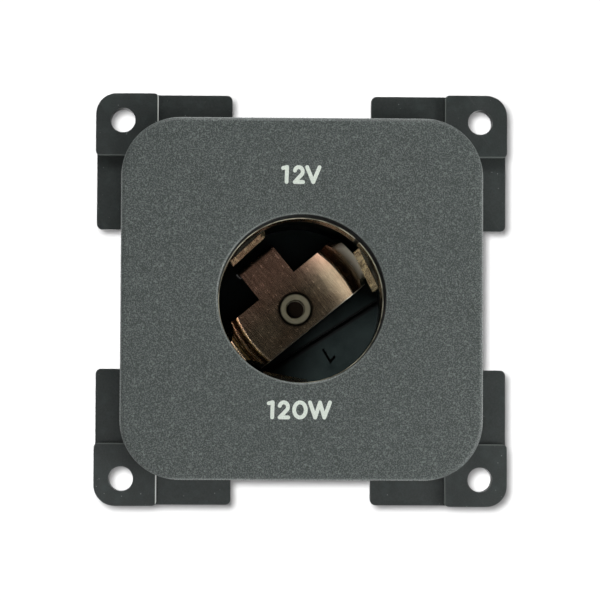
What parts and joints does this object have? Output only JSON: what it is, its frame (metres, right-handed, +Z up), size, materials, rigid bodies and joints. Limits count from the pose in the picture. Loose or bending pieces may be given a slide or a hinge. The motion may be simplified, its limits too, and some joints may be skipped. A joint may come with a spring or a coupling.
{
  "type": "vehicle power socket",
  "caption": "Flush round 12 V power socket: square cover plate snapped over a frame with screw ears, a split metal sleeve with spring tongues and a riveted centre contact.",
  "frame": {"origin": "on the socket's axis, in the plane where the ears lie on the panel", "axes": "-Y out of the panel towards the user, +Z up, +X to the right when looking at the front"},
  "size_m": [0.0536, 0.0557, 0.0536],
  "materials": {
    "plate_plastic": "fine spark-eroded anthracite with a slight metallic sparkle",
    "frame_plastic": "smooth satin anthracite",
    "housing_plastic": "dark moulded plastic",
    "sleeve_metal": "nickel-plated sheet",
    "contact_metal": "brushed bronze sheet with a brownish tone",
    "rivet_metal": "bright plated",
    "blade_metal": "rolled brass sheet"
  },
  "bodies": {
    "root": {"front_plate": "plate_plastic", "mounting_frame": "frame_plastic", "socket_housing": "housing_plastic", "ground_sleeve": "sleeve_metal", "centre_contact": "contact_metal", "centre_rivet": "rivet_metal", "rivet_washer": "rivet_metal", "ground_terminal": "blade_metal", "ground_rivet": "rivet_metal"}
  },
  "joints": []
}
